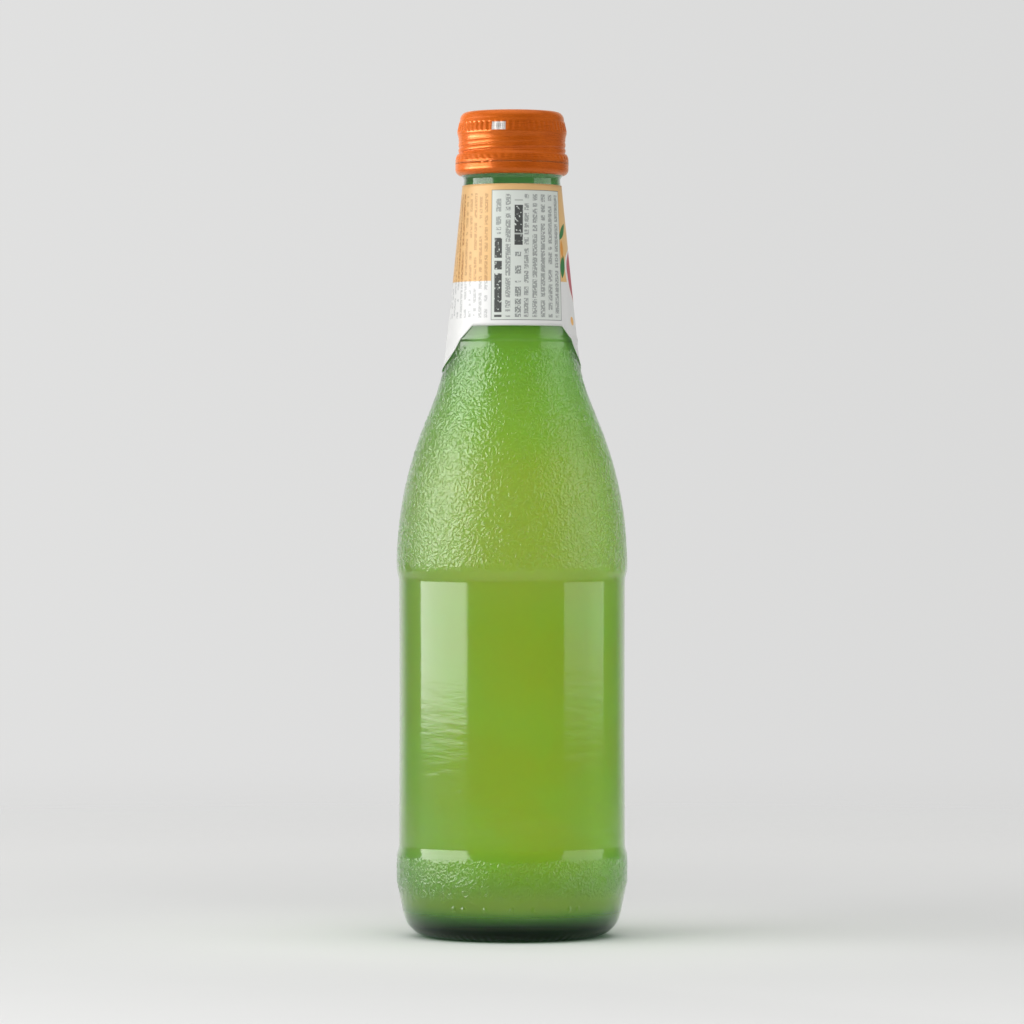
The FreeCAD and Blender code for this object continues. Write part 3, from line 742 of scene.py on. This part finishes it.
def leaf(g, u, v, cu, cv, length, width, degrees):
    """Pointed leaf: where two circles overlap."""
    a = math.radians(degrees)
    du, dv = g.m("SUBTRACT", u, cu), g.m("SUBTRACT", v, cv)
    s = g.m("ADD", g.m("MULTIPLY", du, math.cos(a)), g.m("MULTIPLY", dv, math.sin(a)))
    t = g.m("SUBTRACT", g.m("MULTIPLY", dv, math.cos(a)), g.m("MULTIPLY", du, math.sin(a)))
    rad = (length**2 / 4 + width**2 / 4) / width
    off = rad - width / 2
    t = g.m("ADD", g.m("ABSOLUTE", t), off)
    d = g.m("SQRT", g.m("ADD", g.m("MULTIPLY", s, s), g.m("MULTIPLY", t, t)))
    return g.step(d, rad + 0.06, rad - 0.06)


def disc(g, u, v, cu, cv, rad, e=0.06):
    du, dv = g.m("SUBTRACT", u, cu), g.m("SUBTRACT", v, cv)
    return g.step(g.m("SQRT", g.m("ADD", g.m("MULTIPLY", du, du), g.m("MULTIPLY", dv, dv))), rad + e, rad - e)


def label_material():
    g = Graph("label_paper")
    p = g.place()
    x, y, v = g.node("ShaderNodeSeparateXYZ", [p]).outputs[:3]
    r = g.m("SQRT", g.m("ADD", g.m("MULTIPLY", x, x), g.m("MULTIPLY", y, y)))
    u = wrapped(g, x, y, r, -3.5)           # back print
    w = wrapped(g, x, y, r, 158.5)          # front print, 0 at its middle
    side = g.m("ABSOLUTE", w)
    col = g.mix(g.noise(p, 0.5, 2.0, 0.5), PAPER_A, PAPER_B)
    # cream-orange field, with a paler foot on the front
    field = g.step(v, 173.2, 173.35)
    col = g.mix(field, col, CREAM)
    glow = g.m("MULTIPLY", field, g.m("MULTIPLY", g.step(side, 34.0, 8.0), g.step(v, 198.0, 180.0)))
    col = g.mix(g.m("MULTIPLY", glow, 0.75), col, (0.86, 0.62, 0.30))
    # small print beside the panel
    block = g.box(u, v, -27.0, -5.3, 163.6, 196.6, 0.05)
    words = g.m("MULTIPLY", block, dashes(g, u, v, -5.3, -1.72, 0.55, 0.40, 1.3))
    col = g.mix(g.m("MULTIPLY", words, g.m("MULTIPLY_ADD", field, 0.12, 0.55)), col,
                g.mix(field, (0.30, 0.30, 0.30), (0.42, 0.20, 0.06)))
    strong = g.m("MULTIPLY", g.box(u, v, -17.4, -13.9, 174.0, 196.6, 0.05), dashes(g, u, v, -5.3, -1.72, 0.6, 0.30, 4.1))
    col = g.mix(g.m("MULTIPLY", strong, 0.55), col, (0.36, 0.13, 0.02))
    # framed panel with blind text
    col = g.mix(g.box(u, v, -4.66, 16.02, 162.9, 197.35, 0.04), col, (0.16, 0.17, 0.16))
    col = g.mix(g.box(u, v, -4.50, 15.86, 163.06, 197.19, 0.04), col, PANEL)
    grey = g.m("MULTIPLY", g.box(u, v, -1.2, 15.5, 163.7, 196.2, 0.04), dashes(g, u, v, -1.35, 2.42, 0.55, 0.36, 2.2))
    col = g.mix(g.m("MULTIPLY", grey, 0.62), col, (0.13, 0.14, 0.14))
    clear = g.box(u, v, 1.1, 4.15, 163.4, 196.8, 0.04)
    col = g.mix(clear, col, PANEL)
    head = g.m("MULTIPLY", g.box(u, v, -3.75, -1.75, 163.7, 184.6, 0.08), g.step(g.noise(
        g.node("ShaderNodeCombineXYZ", [g.m("MULTIPLY", v, 0.55), 3.7, 0.0]).outputs[0], 1.0, 0.0), 0.33, 0.37))
    head = g.m("MULTIPLY", head, speckle(g, u, v, 0.36, 1.7))
    col = g.mix(g.m("MULTIPLY", head, 0.93), col, (0.02, 0.022, 0.022))
    tail = g.m("MULTIPLY", g.box(u, v, -3.4, -2.0, 185.6, 195.6, 0.06), g.step(g.noise(
        g.node("ShaderNodeCombineXYZ", [g.m("MULTIPLY", v, 0.9), 8.7, 0.0]).outputs[0], 1.0, 0.0), 0.40, 0.44))
    col = g.mix(g.m("MULTIPLY", g.m("MULTIPLY", tail, speckle(g, u, v, 0.44)), 0.6), col, (0.15, 0.16, 0.16))
    bold = g.m("MULTIPLY", g.box(u, v, 1.55, 3.75, 182.2, 195.6, 0.08), g.step(g.noise(
        g.node("ShaderNodeCombineXYZ", [g.m("MULTIPLY", v, 0.6), 21.7, 0.0]).outputs[0], 1.0, 0.0), 0.36, 0.40))
    bold = g.m("MULTIPLY", bold, speckle(g, u, v, 0.36, 1.7))
    col = g.mix(g.m("MULTIPLY", bold, 0.93), col, (0.02, 0.022, 0.022))
    plain = g.m("MULTIPLY", g.box(u, v, 1.75, 3.35, 163.7, 180.9, 0.06), g.step(g.noise(
        g.node("ShaderNodeCombineXYZ", [g.m("MULTIPLY", v, 0.8), 31.7, 0.0]).outputs[0], 1.0, 0.0), 0.40, 0.44))
    col = g.mix(g.m("MULTIPLY", g.m("MULTIPLY", plain, speckle(g, u, v, 0.44)), 0.7), col, (0.10, 0.11, 0.11))
    # front: sprigs, a plain rose field, a cut orange and its leaves
    past = g.m("GREATER_THAN", u, 16.02)
    for cu, cv, lean, size in ((17.6, 186.6, 52, 1.0), (17.2, 177.4, 84, 1.15)):
        col = g.mix(g.m("MULTIPLY", leaf(g, u, v, cu, cv, 5.6 * size, 2.0 * size, lean), past), col, (0.03, 0.17, 0.045))
    col = g.mix(g.m("MULTIPLY", leaf(g, u, v, 17.0, 182.0, 5.0, 1.5, 96), past), col, (0.70, 0.30, 0.05))
    rose = g.m("POWER", g.m("ADD", g.m("POWER", g.m("DIVIDE", side, 25.2), 3.0),
                            g.m("POWER", g.m("ABSOLUTE", g.m("DIVIDE", g.m("SUBTRACT", v, 174.6), 9.2)), 3.0)), 0.3333)
    col = g.mix(g.step(rose, 1.004, 0.996), col, (0.84, 0.82, 0.78))
    col = g.mix(g.step(rose, 0.955, 0.947), col, ROSE)
    col = g.mix(g.m("MULTIPLY", g.box(side, v, 14.2, 19.4, 173.9, 175.3, 0.07), 0.9), col, (0.84, 0.80, 0.74))
    for cu, cv, lean, ln, wd in ((12.6, 184.0, 18, 11.5, 4.4), (12.2, 178.0, -28, 10.0, 3.6), (8.0, 189.5, 52, 10.0, 3.8)):
        col = g.mix(leaf(g, side, v, cu, cv, ln, wd, lean), col, (0.045, 0.22, 0.05))
        col = g.mix(g.m("MULTIPLY", leaf(g, side, v, cu, cv, ln * 0.9, 0.32, lean), 0.8), col, (0.25, 0.48, 0.16))
    cv = 180.0
    dv = g.m("SUBTRACT", v, cv)
    rad = g.m("SQRT", g.m("ADD", g.m("MULTIPLY", w, w), g.m("MULTIPLY", dv, dv)))
    col = g.mix(g.step(rad, 11.05, 10.95), col, (0.74, 0.25, 0.02))
    col = g.mix(g.step(rad, 10.15, 10.05), col, (0.86, 0.74, 0.45))
    turn = g.m("MULTIPLY", g.m("ARCTAN2", dv, w), 10 / (2 * math.pi))
    wedge = g.m("ABSOLUTE", g.m("SUBTRACT", g.m("SUBTRACT", turn, g.m("FLOOR", turn)), 0.5))
    gap_mm = g.m("MULTIPLY", g.m("SUBTRACT", 0.5, wedge), g.m("MULTIPLY", rad, 2 * math.pi / 10))
    flesh = g.m("MULTIPLY", g.m("MULTIPLY", g.step(gap_mm, 0.22, 0.40), g.step(rad, 9.45, 9.25)), g.step(rad, 1.1, 1.5))
    drops = g.noise(g.node("ShaderNodeCombineXYZ", [g.m("MULTIPLY", turn, 14.0), g.m("MULTIPLY", rad, 0.6), 0.0]).outputs[0], 1.0, 2.0)
    col = g.mix(flesh, col, g.mix(drops, (0.80, 0.30, 0.02), (0.88, 0.46, 0.06)))
    # foot of the front: dots and blind lines on the bare paper
    dots = g.m("MULTIPLY", g.box(side, v, 0.0, 16.2, 160.2, 161.8, 0.05), g.step(g.m("SINE", g.m("MULTIPLY", side, 2.1)), 0.15, 0.45))
    col = g.mix(dots, col, (0.80, 0.33, 0.05))
    for cv, half in ((157.6, 12.0), (155.8, 9.0), (153.2, 14.0)):
        col = g.mix(g.m("MULTIPLY", g.box(side, v, -1.0, half, cv - 0.32, cv + 0.32, 0.05), 0.55), col, (0.22, 0.22, 0.22))
    col = g.mix(disc(g, side, v, 25.6, 163.0, 1.15), col, (0.84, 0.47, 0.14))
    fibre = g.m("ADD", g.m("MULTIPLY", g.noise(p, 3.5, 3.0, 0.6), 0.5), g.m("MULTIPLY", g.noise(p, 0.6, 2.0, 0.5), 0.5))
    return g.surface({"Base Color": col, "Roughness": 0.42, "IOR": 1.45, "Specular IOR Level": 0.4,
                      "Normal": g.bump(fibre, 0.35, 0.00004)})


PAPER_A, PAPER_B = (0.80, 0.80, 0.785), (0.76, 0.76, 0.745)
CREAM, PANEL, ROSE = (0.76, 0.47, 0.19), (0.68, 0.72, 0.67), (0.46, 0.075, 0.10)
label.data.materials.append(label_material())

# ------------------------------------------------------------------ stage, light and camera
def build_stage():
    n = 96
    rings = [0.0, 0.2, 0.5, 1.0, 1.6, 2.4, 3.2]
    verts, faces = [(0, 0, -0.0001)], []
    for r in rings[1:]:
        for k in range(n):
            a = 2 * math.pi * k / n
            verts.append((r * math.cos(a), r * math.sin(a), -0.0001))
    for k in range(n):
        faces.append((0, 1 + k, 1 + (k + 1) % n))
    for i in range(len(rings) - 2):
        for k in range(n):
            a, b = 1 + i * n + k, 1 + i * n + (k + 1) % n
            faces.append((a, a + n, b + n, b))
    floor = mesh_object("floor", verts, faces)
    g = Graph("floor_paper")
    p = g.place()
    xyz = g.node("ShaderNodeSeparateXYZ", [p]).outputs
    far = g.m("SQRT", g.m("ADD", g.m("POWER", xyz[0], 2.0), g.m("POWER", xyz[1], 2.0)))
    fade = g.m("POWER", g.step(far, 1200.0, 170.0), 2.0)
    tone = g.mix(g.noise(p, 0.02, 3.0, 0.6), FLOOR_A, FLOOR_B)
    # painted light: the floor is paler close round the bottle, against its contact shadow
    tone = g.mix(g.step(far, 160.0, 30.0), tone, (0.80, 0.80, 0.79))
    # painted light: the floor is paler again further out, where the lamps' light falls off
    tone = g.mix(g.step(far, 150.0, 420.0), tone, (0.82, 0.82, 0.81))
    dif = g.node("ShaderNodeBsdfDiffuse", {"Color": tone})
    clear = g.node("ShaderNodeBsdfTransparent")
    mixer = g.node("ShaderNodeMixShader", [fade, clear.outputs[0], dif.outputs[0]])
    out = g.node("ShaderNodeOutputMaterial")
    g.tree.links.new(mixer.outputs[0], out.inputs["Surface"])
    floor.data.materials.append(g.mat)
    return floor


def softbox(name, azimuth, distance, width, height, low, radiance, shine=None, edges=(0.0, 0.0, 0.0, 0.0)):
    """Upright area light; azimuth in degrees from the camera's side, left negative. shine True
    only shows in reflections, False only lights. edges are the soft shares of left, right,
    foot and top."""
    a = math.radians(azimuth)
    data = bpy.data.lights.new(name, "AREA")
    data.shape = "RECTANGLE"
    data.size, data.size_y = width, height
    data.energy = radiance * math.pi * width * height
    if any(edges):
        data.use_nodes = True
        t = data.node_tree
        t.nodes.clear()
        sep = t.nodes.new("ShaderNodeSeparateXYZ")
        t.links.new(t.nodes.new("ShaderNodeNewGeometry").outputs["Parametric"], sep.inputs[0])
        last = None
        for axis, start, width_share in ((0, 0.0, edges[0]), (0, 1.0, edges[1]), (1, 0.0, edges[2]), (1, 1.0, edges[3])):
            if not width_share:
                continue
            mr = t.nodes.new("ShaderNodeMapRange")
            mr.interpolation_type = "SMOOTHSTEP"
            mr.inputs["From Min"].default_value = start
            mr.inputs["From Max"].default_value = start + (width_share if start == 0.0 else -width_share)
            t.links.new(sep.outputs[axis], mr.inputs["Value"])
            if last is None:
                last = mr.outputs[0]
            else:
                mul = t.nodes.new("ShaderNodeMath")
                mul.operation = "MULTIPLY"
                t.links.new(last, mul.inputs[0])
                t.links.new(mr.outputs[0], mul.inputs[1])
                last = mul.outputs[0]
        em = t.nodes.new("ShaderNodeEmission")
        t.links.new(last, em.inputs["Strength"])
        out = t.nodes.new("ShaderNodeOutputLight")
        t.links.new(em.outputs[0], out.inputs[0])
    ob = bpy.data.objects.new(name, data)
    ob.location = (distance * math.sin(a), -distance * math.cos(a), low + height / 2)
    aim = Vector((-math.sin(a), math.cos(a), 0))
    ob.rotation_euler = aim.to_track_quat("-Z", "Y").to_euler()
    ob.visible_camera = False
    if shine is True:
        ob.visible_diffuse = False
    if shine is False:
        ob.visible_glossy = ob.visible_transmission = False
    scene.collection.objects.link(ob)
    return ob


def build_world():
    w = bpy.data.worlds.new("studio")
    scene.world = w
    w.use_nodes = True
    t = w.node_tree
    t.nodes.clear()
    tc = t.nodes.new("ShaderNodeTexCoord")
    sep = t.nodes.new("ShaderNodeSeparateXYZ")
    t.links.new(tc.outputs["Generated"], sep.inputs[0])

    def ramp(axis, lo, hi, a, b, smoothly=True):
        mr = t.nodes.new("ShaderNodeMapRange")
        mr.interpolation_type = "SMOOTHSTEP" if smoothly else "LINEAR"
        for k, v in (("From Min", lo), ("From Max", hi), ("To Min", a), ("To Max", b)):
            mr.inputs[k].default_value = v
        t.links.new(sep.outputs[axis], mr.inputs["Value"])
        return mr.outputs[0]

    def joined(op, a, b):
        n = t.nodes.new("ShaderNodeMath")
        n.operation = op
        t.links.new(a, n.inputs[0])
        t.links.new(b, n.inputs[1])
        return n.outputs[0]

    # the far wall is lit, the room on the camera's side is dimmer; seen straight on it is plain
    path = t.nodes.new("ShaderNodeLightPath")
    wall = ramp(1, 0.66, 0.90, WORLD_NEAR, WORLD_FAR)
    pick = t.nodes.new("ShaderNodeMix")
    t.links.new(joined("MAXIMUM", path.outputs["Is Camera Ray"], path.outputs["Is Transmission Ray"]), pick.inputs[0])
    t.links.new(wall, pick.inputs[2])
    pick.inputs[3].default_value = WORLD_FAR
    wall = joined("MULTIPLY", pick.outputs[0], ramp(0, -0.5, 0.5, 1.17, 0.83, smoothly=False))
    total = joined("ADD", wall, ramp(2, 0.74, 0.92, 0.0, WORLD_TOP))
    bg = t.nodes.new("ShaderNodeBackground")
    t.links.new(total, bg.inputs["Strength"])
    bg.inputs["Color"].default_value = (1, 1, 0.995, 1)
    out = t.nodes.new("ShaderNodeOutputWorld")
    t.links.new(bg.outputs[0], out.inputs["Surface"])


FLOOR_A, FLOOR_B = (0.75, 0.75, 0.745), (0.735, 0.735, 0.73)
WORLD_NEAR, WORLD_FAR, WORLD_TOP = 0.20, 0.725, 0.6
floor = build_stage()
build_world()
lights = [
    softbox("key_shine", -75.0, 0.9, 1.12, 1.05, 0.004, 5.0, shine=True, edges=(0.05, 0.10, 0.035, 0.1)),
    softbox("key_soft", -77.5, 0.9, 1.10, 1.05, 0.0, 0.08, shine=False),
    softbox("fill_shine", 80.0, 0.9, 0.94, 1.0, 0.0, 1.6, shine=True, edges=(0.05, 0.06, 0.06, 0.1)),
    softbox("fill_soft", 80.0, 0.9, 0.94, 1.0, 0.0, 1.4, shine=False),
    softbox("front_soft", 12.0, 1.7, 1.8, 1.5, 0.0, 1.05, shine=False),
]
# the cap faces the key light bare, not through glass; the fill's shine is the glass's
bare = bpy.data.collections.new("bare")
bare.objects.link(cap)
key_bare = softbox("key_bare", -100.0, 0.9, 0.9, 0.9, 0.05, 6.6, shine=False)
key_bare.light_linking.receiver_collection = bare
cap_shine = softbox("cap_shine", -75.0, 0.9, 1.1, 0.212, 0.004, 17.0, shine=True, edges=(0.05, 0.10, 0.3, 0.0))
cap_shine.light_linking.receiver_collection = bare
cap_front = softbox("cap_front", -32.0, 1.7, 1.6, 1.5, 0.0, 0.90, shine=False)
cap_front.light_linking.receiver_collection = bare
lights += [cap_shine, cap_front]
low = bpy.data.collections.new("low")
low.objects.link(floor)
low.objects.link(label)
key_low = softbox("key_low", -68.0, 0.9, 1.1, 1.0, 0.0, 1.7, shine=False)
key_low.light_linking.receiver_collection = low
lights.append(key_low)
covered = bpy.data.collections.new("covered")
for ob in (glass, drink, label, floor):
    covered.objects.link(ob)
for part in (lights[0], lights[2], lights[4]):
    part.light_linking.receiver_collection = covered
lights.append(key_bare)
# overhead, a little to the left and to the front; it mostly lights the floor
top_data = bpy.data.lights.new("top_soft", "AREA")
top_data.shape, top_data.size, top_data.size_y = "RECTANGLE", 3.2, 2.6
top_data.energy = 0.80 * math.pi * 3.2 * 2.6
top_soft = bpy.data.objects.new("top_soft", top_data)
top_soft.location = (-0.60, -0.80, 1.70)
top_soft.visible_camera = top_soft.visible_glossy = top_soft.visible_transmission = False
scene.collection.objects.link(top_soft)

cam_data = bpy.data.cameras.new("camera")
cam = bpy.data.objects.new("camera", cam_data)
scene.collection.objects.link(cam)
cam.location = (0.0, -1.46, 0.1125)
cam.rotation_euler = (math.pi / 2, 0, 0)
cam_data.lens, cam_data.sensor_width = 193.3, 36.0
cam_data.dof.use_dof = False
scene.camera = cam
scene.view_settings.view_transform = "Standard"
scene.view_settings.look = "None"

# ------------------------------------------------------------------ frame
for piece, node, finish in ((glass, "glass_bottle", "green_glass"), (drink, "orangeade", "drink"),
                            (label, "neck_label", "label_paper"), (cap, "screw_cap", "orange_lacquer")):
    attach(piece, "root")
    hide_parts(node)
